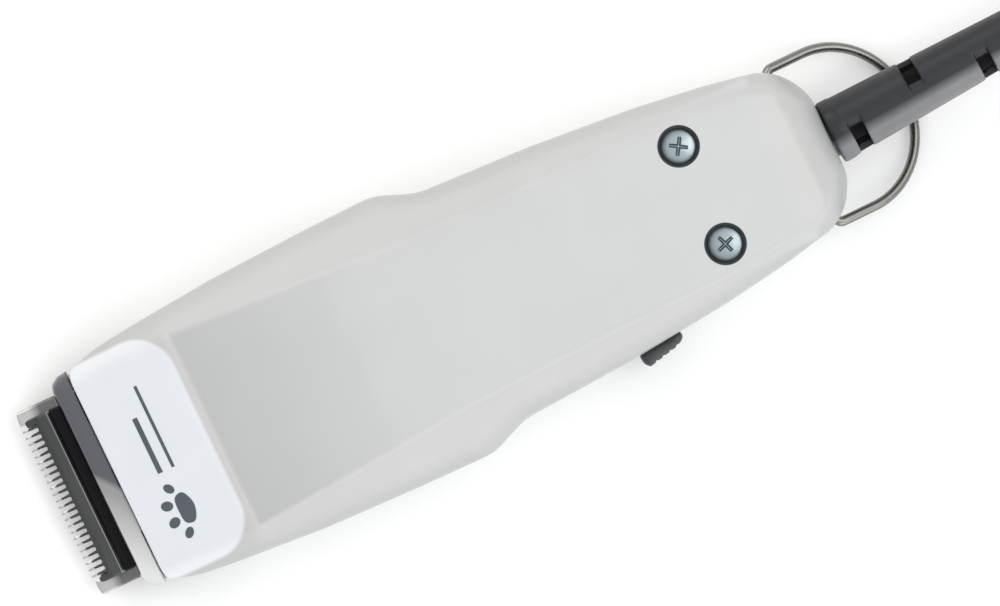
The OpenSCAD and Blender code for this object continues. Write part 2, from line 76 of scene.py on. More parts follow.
def mix_colour(tree, factor, low, high):
    """Low where factor is 0 and high where it is 1; each a colour or another node's output."""
    mix = tree.nodes.new("ShaderNodeMix")
    mix.data_type = "RGBA"
    tree.links.new(factor, mix.inputs["Factor"])
    for name, value in (("A", low), ("B", high)):
        socket = [s for s in mix.inputs if s.name == name and s.type == "RGBA"][0]
        if isinstance(value, bpy.types.NodeSocket):
            tree.links.new(value, socket)
        else:
            socket.default_value = (*value, 1.0)
    return [s for s in mix.outputs if s.type == "RGBA"][0]


def ramp(tree, value, start, end, low=0.0, high=1.0):
    """How far value has come from start to end, as a number from low to high."""
    made = node(tree, "ShaderNodeMapRange", From_Min=start, From_Max=end, To_Min=low, To_Max=high)
    tree.links.new(value, made.inputs["Value"])
    return made.outputs["Result"]


def number(tree, operation, *values):
    """The result of one Math node; each value is a number or another node's output."""
    made = tree.nodes.new("ShaderNodeMath")
    made.operation = operation
    for socket, value in zip(made.inputs, values):
        if isinstance(value, bpy.types.NodeSocket):
            tree.links.new(value, socket)
        else:
            socket.default_value = value
    return made.outputs["Value"]


def own_place(tree):
    """The object's own X, Y and Z, in metres."""
    place = tree.nodes.new("ShaderNodeTexCoord")
    split = tree.nodes.new("ShaderNodeSeparateXYZ")
    tree.links.new(place.outputs["Object"], split.inputs["Vector"])
    return split.outputs["X"], split.outputs["Y"], split.outputs["Z"]


def hypot(tree, a, b):
    """The length of the sides a and b taken together."""
    squares = number(tree, "MULTIPLY", a, a), number(tree, "MULTIPLY", b, b)
    return number(tree, "SQRT", number(tree, "ADD", *squares))


def behind(start, end):
    """A mask that goes from 0 to 1 as X goes from start to end, in millimetres."""
    return lambda tree: ramp(tree, own_place(tree)[0], start * MM, end * MM)


def finish(name, colour, rough, metal=0.0, tint=0.05, grain=(1, 1, 1), scale=900.0, vary=0.06,
           bump=0.15, depth=0.00004, coat=0.0, specular=0.5, zones=()):
    """A surface with fine colour, roughness and height variation.

    Zones are (mask, colour) pairs: where a mask is 1 the surface has that colour instead.
    """
    material, tree, shader = new_material(name)
    fine = object_noise(tree, grain, scale)
    broad = ramp(tree, object_noise(tree, grain, scale * 0.06, 2.0), 0.35, 0.65)

    def varied(tone):
        low = [max(0.0, c * (1 - tint)) for c in tone]
        high = [min(1.0, c * (1 + tint)) for c in tone]
        return mix_colour(tree, broad, low, high)

    base = varied(colour)
    for mask, tone in zones:
        base = mix_colour(tree, mask(tree), base, varied(tone))
    tree.links.new(base, shader.inputs["Base Color"])
    roughness = ramp(tree, fine, 0.3, 0.7, max(0.02, rough - vary), rough + vary)
    tree.links.new(roughness, shader.inputs["Roughness"])
    shader.inputs["Metallic"].default_value = metal
    shader.inputs["Specular IOR Level"].default_value = specular
    shader.inputs["Coat Weight"].default_value = coat
    shader.inputs["Coat Roughness"].default_value = 0.12
    height = node(tree, "ShaderNodeBump", Strength=bump, Distance=depth)
    tree.links.new(fine, height.inputs["Height"])
    tree.links.new(height.outputs["Normal"], shader.inputs["Normal"])
    return material


# Places on the object, in millimetres
NOSE_CREASE = -42.6
PANEL_REAR = 63.0
FACET_HALF = 19.7
FACET_CORNER = 7.0
BAND_X = -63.4
COMB_TIP, COMB_ROOT = -71.0, -66.6
CUTTER_TIP, CUTTER_ROOT = -69.9, -68.2
SCREW_AT = (48.2, 8.95)
RECESS_R = 3.5
REAR = 71.8
SEAM = 12.0
RELIEF_YAW = math.radians(3)
RELIEF_START = 0.32
RELIEF_L = 57.3
RELIEF_R = (5.4, 3.75)


def facet_mask(tree):
    """1 on the nose's white face, which has round corners at the crease."""
    x, y, _ = own_place(tree)
    past_x = number(tree, "MAXIMUM", number(tree, "SUBTRACT", x, (NOSE_CREASE - FACET_CORNER) * MM), 0.0)
    aside = number(tree, "SUBTRACT", number(tree, "ABSOLUTE", y), (FACET_HALF - FACET_CORNER) * MM)
    away = hypot(tree, past_x, number(tree, "MAXIMUM", aside, 0.0))
    return ramp(tree, away, (FACET_CORNER + 0.25) * MM, (FACET_CORNER - 0.35) * MM)


def recess_shade_mask(tree):
    """1 inside the two screw recesses, which are painted dark as shade."""
    x, y, _ = own_place(tree)
    aside = number(tree, "SUBTRACT", number(tree, "ABSOLUTE", y), SCREW_AT[1] * MM)
    away = hypot(tree, number(tree, "SUBTRACT", x, SCREW_AT[0] * MM), aside)
    return ramp(tree, away, (RECESS_R + 0.08) * MM, (RECESS_R + 0.02) * MM)


def band_reflection_mask(start, end, slant=1.18):
    """0 to 1 across the nose band as Y goes from start to end, in millimetres, along a slanting line; it
    places a painted reflection.
    """
    def mask(tree):
        x, y, _ = own_place(tree)
        lean = number(tree, "MULTIPLY", number(tree, "SUBTRACT", x, BAND_X * MM), slant)
        across = number(tree, "ADD", y, lean)
        return ramp(tree, across, start * MM, end * MM)
    return mask


def panel_mask(start, end):
    """0 to 1 on the flat top panel as X goes from start to end, in millimetres."""
    def mask(tree):
        x, y, _ = own_place(tree)
        half = ramp(tree, x, -41 * MM, -2 * MM, 17.6 * MM, 14.6 * MM)
        across = number(tree, "SUBTRACT", half, number(tree, "ABSOLUTE", y))
        inside = ramp(tree, across, -0.3 * MM, 0.5 * MM)
        before_rear = ramp(tree, x, (PANEL_REAR + 0.6) * MM, (PANEL_REAR - 0.6) * MM)
        behind_facet = ramp(tree, x, (NOSE_CREASE + 1.0) * MM, (NOSE_CREASE + 1.7) * MM)
        on_panel = number(tree, "MULTIPLY", number(tree, "MULTIPLY", behind_facet, before_rear), inside)
        return number(tree, "MULTIPLY", on_panel, ramp(tree, x, start * MM, end * MM))
    return mask


def rim_shade_mask(tree):
    """0 to 1 as the cover turns down from its slopes to the steep rim, where a darker colour is painted
    as shade.
    """
    split = tree.nodes.new("ShaderNodeSeparateXYZ")
    tree.links.new(tree.nodes.new("ShaderNodeNewGeometry").outputs["Normal"], split.inputs["Vector"])
    return ramp(tree, split.outputs["Z"], 0.62, 0.2)


def painted_sheen_mask(tree):
    """0 to 1 from the strain relief's top to its upper -Y flank, where a lighter colour is painted as a
    highlight.
    """
    x, y, z = own_place(tree)
    along = number(tree, "SUBTRACT", x, REAR * MM)
    c, s = math.cos(RELIEF_YAW), math.sin(RELIEF_YAW)
    turned = number(tree, "MULTIPLY", y, c), number(tree, "MULTIPLY", along, s)
    across = number(tree, "SUBTRACT", *turned)
    up = number(tree, "SUBTRACT", z, SEAM * MM)
    away = hypot(tree, across, up)
    sideways = ramp(tree, number(tree, "DIVIDE", across, away), -0.22, -0.6)
    above = ramp(tree, number(tree, "DIVIDE", up, away), -0.1, 0.3)
    return number(tree, "MULTIPLY", sideways, above)


LOOKS = {
    "cover": finish("cover_plastic", (0.53, 0.53, 0.52), 0.40, tint=0.012, scale=1400, bump=0.10,
                    coat=0.15, zones=[
        # painted shade: the cover's steep rim is coloured darker
        (rim_shade_mask, (0.40, 0.41, 0.40)),
        (panel_mask(-50, -45), (0.525, 0.53, 0.53)),
        # painted shade: the front of the top panel, which tilts forward, is coloured darker
        (panel_mask(-8, -42), (0.43, 0.435, 0.435)),
        (facet_mask, (0.745, 0.765, 0.80)),
        # painted shade inside the screw recesses
        (recess_shade_mask, (0.10, 0.11, 0.11))]),
    "housing": finish("housing_plastic", (0.50, 0.51, 0.495), 0.44, tint=0.012, scale=1400, bump=0.12,
                      coat=0.08),
    "print": finish("facet_print", (0.075, 0.085, 0.10), 0.4, tint=0.1, scale=2500, bump=0.05),
    # painted reflection: the polished band is coloured dark on its +Y part and silver on its -Y part,
    # along a slanting edge
    "chrome": finish("trim_chrome", (0.095, 0.097, 0.108), 0.16, 1.0, tint=0.03, grain=(1, 0.05, 1),
                     scale=3000, vary=0.03, bump=0.05, zones=[
        (band_reflection_mask(2.9, 1.2), (0.27, 0.27, 0.27)),
        (band_reflection_mask(0, -15), (0.64, 0.65, 0.64))]),
    "zinc": finish("screw_zinc", (0.36, 0.42, 0.44), 0.36, 1.0, tint=0.10, scale=1500, bump=0.2),
    "comb": finish("comb_steel", (0.54, 0.54, 0.53), 0.30, 1.0, tint=0.04, grain=(0.15, 1, 1),
                   scale=5000, bump=0.15, zones=[
        # painted shade: the comb is coloured darker behind the roots of its teeth, under the cutter and
        # the nose band
        (behind(COMB_ROOT - 1.8, COMB_ROOT), (0.17, 0.17, 0.165))]),
    "cutter": finish("cutter_steel", (0.078, 0.08, 0.08), 0.36, 1.0, tint=0.12, grain=(1, 0.15, 1),
                     scale=4000, bump=0.2, zones=[
        # painted highlight: a lighter line along the chamfer at the rear of the cutter's raised front
        (behind(-66.05, -65.9), (0.24, 0.24, 0.24)),
        # painted shade: the cutter is coloured near black behind that line, under the nose band
        (behind(-65.5, -65.2), (0.015, 0.015, 0.017))]),
    "spring": finish("spring_steel", (0.55, 0.56, 0.58), 0.28, 1.0, tint=0.05, scale=3000),
    "core": finish("core_steel", (0.20, 0.21, 0.23), 0.5, 0.9, tint=0.25, grain=(0.02, 0.02, 1),
                   scale=6000, bump=0.5),
    "copper": finish("coil_copper", (0.55, 0.20, 0.08), 0.3, 0.85, tint=0.2, grain=(0.03, 1, 0.03),
                     scale=5000, bump=0.6, depth=0.0001),
    "alloy": finish("lever_alloy", (0.58, 0.59, 0.61), 0.42, 1.0, tint=0.05, scale=1200, bump=0.4),
    "black": finish("black_plastic", (0.022, 0.022, 0.024), 0.45, tint=0.15, scale=2000, bump=0.3),
    "switch": finish("switch_plastic", (0.050, 0.053, 0.060), 0.42, tint=0.10, scale=2500, bump=0.25),
    "stop": finish("stop_rubber", (0.02, 0.02, 0.02), 0.75, tint=0.2, scale=2000, bump=0.4),
    "nickel": finish("loop_nickel", (0.25, 0.245, 0.23), 0.26, 1.0, tint=0.06, grain=(0.3, 1, 1),
                     scale=2500, bump=0.1),
    # painted highlight: a lighter band along the strain relief's upper -Y flank
    "relief": finish("relief_rubber", (0.020, 0.022, 0.027), 0.42, tint=0.08, scale=2200, vary=0.05,
                     bump=0.12, specular=0.34, zones=[(painted_sheen_mask, (0.20, 0.205, 0.215))]),
    # painted shade for the faces deep inside the strain relief's pockets
    "pocket_shade": finish("relief_pocket_shade", (0.006, 0.006, 0.007), 0.85, tint=0.2, scale=2200, specular=0.15),
    "cord": finish("cord_jacket", (0.035, 0.036, 0.041), 0.48, tint=0.12, grain=(0.4, 1, 1),
                   scale=1800, bump=0.2),
    "plug": finish("plug_rubber", (0.035, 0.036, 0.041), 0.45, tint=0.12, scale=2200, bump=0.25),
    "pin": finish("pin_nickel", (0.70, 0.67, 0.60), 0.26, 1.0, tint=0.04, scale=2000, bump=0.1),
    "wire": finish("wire_insulation", (0.16, 0.06, 0.025), 0.5, tint=0.1, scale=2000),
    "foil": finish("plate_foil", (0.62, 0.63, 0.64), 0.34, 1.0, tint=0.04, grain=(1, 0.1, 1),
                   scale=3500, bump=0.1),
}


# ---- Mesh making ----
CREASE = 38.0


def make_object(name, points_mm, faces, look, crease=CREASE):
    """A mesh object from points in millimetres, smooth but where faces meet at over crease degrees."""
    mesh = bpy.data.meshes.new(name)
    mesh.from_pydata([tuple(p) for p in np.asarray(points_mm, float) * MM], [], [list(f) for f in faces])
    mesh.validate()
    made = bpy.data.objects.new(name, mesh)
    bpy.context.scene.collection.objects.link(made)
    mesh.materials.append(LOOKS[look])
    shade(mesh, crease)
    return made


def shade(mesh, crease=CREASE):
    mesh.polygons.foreach_set("use_smooth", [True] * len(mesh.polygons))
    mesh.set_sharp_from_angle(angle=math.radians(crease))


def settle(made):
    """Applies the object's modifiers to its mesh."""
    bpy.context.view_layer.update()
    ready = made.evaluated_get(bpy.context.evaluated_depsgraph_get())
    mesh = bpy.data.meshes.new_from_object(ready)
    made.modifiers.clear()
    made.data = mesh
    shade(mesh)
    return made


def join(name, *parts):
    """Several objects' meshes as one object."""
    build = bmesh.new()
    for part in parts:
        build.from_mesh(part.data)
    mesh = bpy.data.meshes.new(name)
    build.to_mesh(mesh)
    build.free()
    mesh.materials.append(parts[0].data.materials[0])
    made = bpy.data.objects.new(name, mesh)
    bpy.context.scene.collection.objects.link(made)
    for part in parts:
        bpy.data.objects.remove(part)
    shade(mesh)
    return made


def carve(made, tool):
    """Takes tool's shape out of made, and removes tool."""
    cut = made.modifiers.new("cut", "BOOLEAN")
    cut.operation = "DIFFERENCE"
    cut.solver = "EXACT"
    cut.object = tool
    settle(made)
    bpy.data.objects.remove(tool)


def lathe(name, profile, look, place, sides):
    """A turned piece about Z from (radius, height) pairs, moved by the matrix place, in millimetres."""
    points, faces = [], []
    for r, z in profile:
        for k in range(sides):
            a = 2 * math.pi * k / sides
            points.append(Vector((r * math.cos(a), r * math.sin(a), z)))
    rows = len(profile)
    for i in range(rows - 1):
        for k in range(sides):
            n = (k + 1) % sides
            faces.append((i * sides + k, i * sides + n, (i + 1) * sides + n, (i + 1) * sides + k))
    faces.append(tuple(range(sides - 1, -1, -1)))
    faces.append(tuple((rows - 1) * sides + k for k in range(sides)))
    return make_object(name, [place @ p for p in points], faces, look)


def prism(name, outline, low, high, look, place=None):
    """An upright prism over an outline, from z = low to z = high, in millimetres."""
    n = len(outline)
    points = [Vector((x, y, z)) for z in (low, high) for x, y in outline]
    if place is not None:
        points = [place @ p for p in points]
    faces = [tuple(range(n - 1, -1, -1)), tuple(range(n, 2 * n))]
    faces += [(k, (k + 1) % n, n + (k + 1) % n, n + k) for k in range(n)]
    return make_object(name, points, faces, look)


def soften(made, width_mm):
    """Rounds the object's sharp edges."""
    bevel = made.modifiers.new("bevel", "BEVEL")
    bevel.width = width_mm * MM
    bevel.segments = 2
    bevel.limit_method = "ANGLE"
    bevel.angle_limit = math.radians(30)
    return settle(made)


# ---- Solids from distance fields ----
def blend_max(a, b, reach):
    """The larger of a and b, rounded off where they come within reach of each other."""
    h = np.clip(reach - np.abs(a - b), 0, None) / reach
    return np.maximum(a, b) + h * h * reach / 4


def blend_min(a, b, reach):
    return -blend_max(-a, -b, reach)


def slab(value, low, high):
    """Negative between low and high."""
    return np.maximum(low - value, value - high)


def table(pairs, soft):
    """A smooth curve through (place, value) pairs, softened over soft millimetres to each side."""
    grid = np.arange(-100.0, 100.0, 0.1)
    values = np.interp(grid, [p[0] for p in pairs], [p[1] for p in pairs])
    reach = max(1, round(soft / 0.1))
    kernel = np.ones(2 * reach + 1) / (2 * reach + 1)
    for _ in range(2):
        values = np.convolve(np.pad(values, reach, mode="edge"), kernel, "valid")
    slopes = np.gradient(values, 0.1)
    return (lambda x: np.interp(x, grid, values)), (lambda x: np.interp(x, grid, slopes))


def gradient(field, p, reach):
    """The field's slope at points p."""
    parts = []
    for axis in range(3):
        step = np.zeros(3)
        step[axis] = reach
        parts.append((field(*(p + step).T) - field(*(p - step).T)) / (2 * reach))
    return np.stack(parts, axis=1)


def field_object(name, field, low, high, step, look, crease=CREASE):
    """A closed mesh of the surface where field(x, y, z) is 0; it is negative inside. In millimetres.

    Each grid cell that the surface crosses gets one point, which then moves onto the surface, and
    each grid edge that it crosses gets a face between the four cells round it.
    """
    step = step * FINE
    count = [int(math.ceil((end - start) / step)) + 1 for start, end in zip(low, high)]
    axes = [start + step * np.arange(n) for start, n in zip(low, count)]
    grid = field(*np.meshgrid(*axes, indexing="ij"))
    inside = grid < 0
    corners = [(i, j, k) for i in (0, 1) for j in (0, 1) for k in (0, 1)]

    def shifted(array, i, j, k):
        nx, ny, nz = array.shape
        return array[i:nx - 1 + i, j:ny - 1 + j, k:nz - 1 + k]

    total = sum(shifted(inside, *c).astype(np.int8) for c in corners)
    active = (total > 0) & (total < 8)
    index = np.full(active.shape, -1)
    index[active] = np.arange(active.sum())
    cell = np.argwhere(active)
    sums = np.zeros((len(cell), 3))
    hits = np.zeros(len(cell))
    for a in corners:
        for axis in range(3):
            if a[axis]:
                continue
            b = list(a)
            b[axis] = 1
            start = cell + a
            end = cell + b
            fa = grid[tuple(start.T)]
            fb = grid[tuple(end.T)]
            crossed = (fa < 0) != (fb < 0)
            share = np.where(crossed, fa / np.where(crossed, fa - fb, 1), 0)
            spot = start.astype(float)
            spot[:, axis] += share
            sums += np.where(crossed[:, None], spot, 0)
            hits += crossed
    points = np.array(low) + step * sums / hits[:, None]
    for _ in range(4):
        slope = gradient(field, points, 0.02)
        size = np.maximum((slope ** 2).sum(1), 0.05)
        move = -(field(*points.T) / size)[:, None] * slope
        length = np.linalg.norm(move, axis=1)[:, None]
        points = points + move * np.minimum(1, 0.5 * step / np.maximum(length, 1e-9))
    faces = []
    for axis in range(3):
        u, v = [a for a in range(3) if a != axis]
        ahead = np.roll(inside, -1, axis)
        crossed = inside != ahead
        trim = [slice(1, -1)] * 3
        trim[axis] = slice(0, -1)
        spots = np.argwhere(crossed[tuple(trim)]) + [0 if a == axis else 1 for a in range(3)]
        ring = []
        for du, dv in ((0, 0), (-1, 0), (-1, -1), (0, -1)):
            around = spots.copy()
            around[:, u] += du
            around[:, v] += dv
            ring.append(index[tuple(around.T)])
        ring = np.stack(ring, axis=1)
        flip = inside[tuple(spots.T)] == (axis == 1)
        ring[flip] = ring[flip][:, ::-1]
        faces.append(ring)
    faces = np.concatenate(faces)
    faces = faces[(faces >= 0).all(axis=1)]
    return make_object(name, points, faces, look, crease)


def place_piece(made, body, slot, *replaced):
    """Puts a piece on its body, in place of the CAD nodes it stands for; the slot argument is not used.
    """
    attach(made, body)
    if replaced:
        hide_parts(*replaced)
    return made


# ---- Camera and floor ----
VIEW_CENTRE = Vector((10.35, -1.6, 12.0)) * MM
VIEW_RIGHT = Vector((0.9012, -0.4333, 0.0))
VIEW_TILT = Vector((0.0, 0.0, 1.0))
VIEW_DISTANCE = 2.4
VIEW_WIDTH = 0.1665
SENSOR = 36.0


def add_camera():
    data = bpy.data.cameras.new("camera")
    camera = bpy.data.objects.new("camera", data)
    bpy.context.scene.collection.objects.link(camera)
    back = VIEW_TILT.normalized()
    right = (VIEW_RIGHT - VIEW_RIGHT.dot(back) * back).normalized()
    up = back.cross(right)
    turn = Matrix((right, up, back)).transposed().to_4x4()
    camera.matrix_world = Matrix.Translation(VIEW_CENTRE + back * VIEW_DISTANCE) @ turn
    data.sensor_width = SENSOR
    data.lens = SENSOR * VIEW_DISTANCE / VIEW_WIDTH
    data.clip_start = 0.01
    bpy.context.scene.camera = camera


add_camera()


# ---- The cord, in millimetres ----
CORD_D = 6.0
LEAD_ROUTE = [(129, 3, 12), (137, 3.4, 11.8), (146, 5, 9.8), (155, 9, 6.2), (164, 14, 3.8), (173, 19, 3),
              (182, 23, 3)]
TAIL_ROUTE = [(178.3, 13.8, 15.3), (183.4, 16.9, 16.1), (190, 18.3, 17.6), (201, 17, 20.8),
              (212, 12, 22.3), (222, 6.5, 22.6), (231, 2.4, 23.4), (239, 0.2, 24.7), (245, 0, 25)]
HANK_ENDS = (190.0, 268.0)
HANK_MID = sum(HANK_ENDS) / 2
OUTER, INNER = 24.0, 18.0
# How far the tie draws the runs in, how far up it lifts the low ones, and over what length
PINCH, LIFT = 12.0, 0.8
PINCH_FLAT, PINCH_REACH = 3.0, 36.0
LAYERS = (3.2, 9.2, 15.0)
# Each turn of the hank: its distance from the middle and its layer
TURNS = ((OUTER, 0), (INNER, 0), (INNER, 1), (OUTER, 1), (OUTER, 2), (INNER, 2))


def between(a, b, c, d, t):
    """A point from b to c on the smooth curve through four points."""
    bend = t * t * (2 * a - 5 * b + 4 * c - d) + t ** 3 * (3 * b - a - 3 * c + d)
    return 0.5 * (2 * b + t * (c - a) + bend)


def smooth_route(points, per_piece):
    """Points on a smooth curve through a route."""
    out = []
    p = [Vector(q) for q in points]
    for i in range(len(p) - 1):
        a, b, c, d = p[max(i - 1, 0)], p[i], p[i + 1], p[min(i + 2, len(p) - 1)]
        out += [between(a, b, c, d, k / per_piece) for k in range(per_piece)]
    out.append(p[-1])
    return out


def hank_run(side, column, height, forwards):
    """One straight run of the hank, drawn in at its middle by the tie."""
    run = []
    steps = 26
    for k in range(1, steps):
        share = k / steps
        x = HANK_ENDS[0] + (HANK_ENDS[1] - HANK_ENDS[0]) * (share if forwards else 1 - share)
        away = min(1.0, max(0.0, (abs(x - HANK_MID) - PINCH_FLAT) / PINCH_REACH))
        draw = 0.5 + 0.5 * math.cos(math.pi * away)
        lift = LIFT * draw if height < LAYERS[-1] else 0
        run.append(Vector((x, side * (column - PINCH * draw), height + lift)))
    return run


def hank_arc(end, start_y, end_y, start_z, end_z, share=1.0):
    """The turn round one end of the hank, from one side to the other, or the first share of it."""
    arc = []
    steps = 22
    for k in range(int(steps * share) + 1):
        t = k / steps
        angle = math.pi * t
        radius = abs(start_y) + (abs(end_y) - abs(start_y)) * t
        y = math.copysign(radius * math.cos(angle), start_y * math.cos(angle))
        x = HANK_ENDS[end] + (1 if end else -1) * radius * math.sin(angle)
        arc.append(Vector((x, y, start_z + (end_z - start_z) * t)))
    return arc


def cord_path():
    path = smooth_route(LEAD_ROUTE, 4)[:-1]
    for i, (column, layer) in enumerate(TURNS):
        z = LAYERS[layer]
        path += hank_run(1, column, z, True)
        path += hank_arc(1, column, -column, z, z)
        path += hank_run(-1, column, z, False)
        if i + 1 < len(TURNS):
            path += hank_arc(0, -column, TURNS[i + 1][0], z, LAYERS[TURNS[i + 1][1]])
        else:
            path += hank_arc(0, -column, column, z, z + 0.3, share=0.78)
    path += smooth_route(TAIL_ROUTE, 4)[1:]
    for _ in range(3):
        middle = [0.25 * a + 0.5 * b + 0.25 * c for a, b, c in zip(path, path[1:], path[2:])]
        path = [path[0], *middle, path[-1]]
    return path


def wire_object(name, path_mm, diameter_mm, look):
    """A round wire along a path, in millimetres."""
    data = bpy.data.curves.new(name, "CURVE")
    data.dimensions = "3D"
    spline = data.splines.new("POLY")
    spline.points.add(len(path_mm) - 1)
    for point, place in zip(spline.points, path_mm):
        point.co = (*(Vector(place) * MM), 1.0)
    spline.use_smooth = True
    data.bevel_depth = diameter_mm / 2 * MM
    data.bevel_resolution = 5
    data.use_fill_caps = True
    made = bpy.data.objects.new(name, data)
    bpy.context.scene.collection.objects.link(made)
    data.materials.append(LOOKS[look])
    return made


TIE = dict(half=15.0, height=18.0, width=8.0, thick=1.0)
PLUG_X, PLUG_Z, PLUG_L, PLUG_W, PLUG_H = 246.0, 25.0, 31.0, 26.0, 13.7
PIN_GAP = 18.6


def plug_field(x, y, z):
    """A flat plug, narrow at the cord and wide at the pins, with moulded grip grooves."""
    along, up = x - PLUG_X, z - PLUG_Z
    away = np.hypot(y, up)
    half = np.interp(along, [0, 9, 20, PLUG_L], [6.4, 8.9, PLUG_W / 2 - 0.1, PLUG_W / 2 - 0.1])
    thick = PLUG_H / 2 * np.interp(along, [0, 12], [0.84, 1.0])
    flat = blend_max((np.abs(y) - half) * 0.95, np.abs(up) - thick, 3.5)
    body = blend_max(flat, slab(along, 0.0, PLUG_L), 1.6)
    below = np.clip(PLUG_H / 2 + 0.15 - np.abs(up), 0, None)
    grooves = np.hypot(np.mod(along - 3, 3.2) - 1.6, below) - 0.55
    grip = (along > 3) & (along < 16) & (np.abs(y) < half - 2.2)
    body = np.where(grip, blend_max(body, -grooves, 0.4), body)
    tail = blend_max(away - np.interp(along, [-9, 1], [3.9, 5.0]), slab(along, -9.0, 2.0), 0.8)
    for ring in (-7.0, -4.6, -2.2):
        tail = blend_max(tail, -(np.hypot(away - 4.6, along - ring) - 0.45), 0.3)
    bore = np.maximum(away - CORD_D / 2 - 0.02, along + 6.8)
    return np.maximum(blend_min(body, tail, 1.2), -bore)


def lay_at(x, side):
    """The place of one pin's axis, which points along +X."""
    return Matrix.Translation((x, side * PIN_GAP / 2, PLUG_Z)) @ Matrix.Rotation(math.pi / 2, 4, "Y")


def build_plug():
    low, high = (PLUG_X - 10, -14, PLUG_Z - 8), (PLUG_X + 32, 14, PLUG_Z + 8)
    body = field_object("plug_grip", plug_field, low, high, 0.42, "plug")
    profile = [(1.42, 0), (2.4, 0), (2.4, 0.9), (1.9, 1.3), (1.9, 10.3), (1.75, 10.6), (1.42, 10.6)]
    start = PLUG_X + PLUG_L - 0.6
    sleeves = [lathe("sleeve", profile, "plug", lay_at(start, side), 40) for side in (-1, 1)]
    piece = join("plug_moulding", body, *sleeves)
    return place_piece(piece, "housing", "plug_rubber", "plug_body")


def build_pins():
    profile = [(1.38, -6), (1.38, 10.05), (1.9, 10.05), (2.0, 10.2), (2.0, 17.2)]
    profile += [(2.0 * math.cos(a), 17.2 + 1.8 * math.sin(a)) for a in np.linspace(0.15, 1.25, 7)]
    parts = [lathe("pin", profile, "pin", lay_at(PLUG_X + PLUG_L, side), 40) for side in (-1, 1)]
    return place_piece(join("plug_contacts", *parts), "housing", "pin_nickel", "plug_pins")


def tie_field(x, y, z):
    """A flat strap round the hank's waist."""
    along = np.abs(x - HANK_MID) - TIE["width"] / 2 + 0.1
    ring = blend_max(np.abs(y) - TIE["half"] - 0.9, slab(z, 0.05, TIE["height"] + 0.9), 4.0)
    hole = blend_max(np.abs(y) - TIE["half"], slab(z, TIE["thick"], TIE["height"]), 3.0)
    return blend_max(np.maximum(ring, -hole), along, 0.5)


def build_cord():
    """The mains cord with its tie, plug and pins."""
    low, high = (HANK_MID - 5, -17, -0.6), (HANK_MID + 5, 17, 20)
    tie = field_object("tie_strap", tie_field, low, high, 0.35, "black")
    place_piece(tie, "housing", "black_plastic", "cord_tie")
    plug = build_plug()
    pins = build_pins()
    cord = wire_object("mains_cord", cord_path(), CORD_D, "cord")
    place_piece(cord, "housing", "cord_jacket", "cord_lead", "cord_hank", "cord_tail")


build_cord()

# ---- Housing shape ----
FRONT, FRONT_Z = -59.7, 15.6
CREASE_Z = 29.5
half_width, half_width_slope = table(
    [(-66, 17.7), (FRONT, 19.85), (-54.5, 20.75), (-45.5, 21.7), (-31.3, 22.85), (-14.7, 23.45),
     (-1.2, 23.7), (5.8, 20.85), (25.6, 19.8), (44.6, 18), (56.4, 16.3), (63.6, 14.9), (72, 13.0)], 1.3)
panel_half, _ = table(
    [(-66, 17.4), (FRONT, 17.2), (-43.5, 17.6), (-40.5, 17.4), (-14.7, 15.7), (-2, 14.5), (25.6, 13.9),
     (44.6, 13.8), (62, 12.8), (67, 10.6), (72, 5)], 1.6)
panel_height, panel_slope = table(
    [(-66, 10.48), (FRONT, FRONT_Z), (NOSE_CREASE, CREASE_Z), (-40, 29.86), (-14.7, 32.9), (-2, 32.6),
     (25.6, 30.6), (44.6, 28.6), (62, 26.7), (66.5, 25.8), (72, 19.0)], 0.9)
belly_height, belly_slope = table(
    [(-70, 4.8), (-47.2, 4.8), (-45.4, 0), (66, 0), (69.6, 1.6), (72, 4.6)], 0.3)
SIDE_SLOPE = 1.19
PANEL_EDGE = 1.3
REAR_ROUND = 7.5
WALL = 2.0
# Where the lower shell is cut away under the nose, and up to what height
NOSE_CUT, NOSE_Z = -55.5, 7.6
RECESS = [(SCREW_AT[0], side * SCREW_AT[1]) for side in (-1, 1)]
RECESS_Z = 25.6
RELIEF_HOLE_R = 4.1
STROKE_SCREW_AT = (12.0, 8.0)
LOOP_AT = Vector((66.8, 0, 9.0))
WIRE_D = 1.7


def plan_field(x, y, inset):
    """The outline from above, moved in by inset."""
    lean = 1 / np.sqrt(1 + half_width_slope(x) ** 2)
    past_rear = np.clip(x - REAR + REAR_ROUND, 0, None)
    past_side = np.clip((np.abs(y) - half_width(x)) * lean + REAR_ROUND, 0, None)
    return np.hypot(past_rear, past_side) - REAR_ROUND + inset


def roof_field(x, y, z):
    """The top panel and the slopes beside it."""
    over = np.abs(y) - panel_half(x)
    drop = SIDE_SLOPE * blend_max(over, 0 * over, PANEL_EDGE)
    tilt = SIDE_SLOPE * np.clip(over / PANEL_EDGE + 0.5, 0, 1)
    return (z - panel_height(x) + drop) / np.sqrt(1 + tilt ** 2 + panel_slope(x) ** 2)


def cover_outside(x, y, z):
    """The upper shell's outside, with a little draft up its walls."""
    return blend_max(plan_field(x, y, 0) + 0.03 * (z - SEAM), roof_field(x, y, z), 3.2)


def relief_hole(x, y, z):
    """Negative where the strain relief's neck passes through the rear wall."""
    return np.maximum(np.hypot(y, z - SEAM) - RELIEF_HOLE_R, 62 - x)


def cover_field(x, y, z):
    """The upper shell, open below, with its two screw bosses."""
    outside = cover_outside(x, y, z)
    solid = blend_max(blend_max(outside, FRONT - x, 0.7), SEAM - z, 0.5)
    solid = np.maximum(solid, -(outside + WALL))
    tunnel = np.maximum(np.maximum(np.abs(y) - 15, slab(x, FRONT - 2, FRONT + 3)), z - SEAM - 1.4)
    solid = np.maximum(np.maximum(solid, -tunnel), -relief_hole(x, y, z))
    for cx, cy in RECESS:
        away = np.hypot(x - cx, y - cy)
        boss = np.maximum(away - 4.6, slab(z, SEAM, 27.0))
        solid = np.minimum(solid, boss)
    return solid


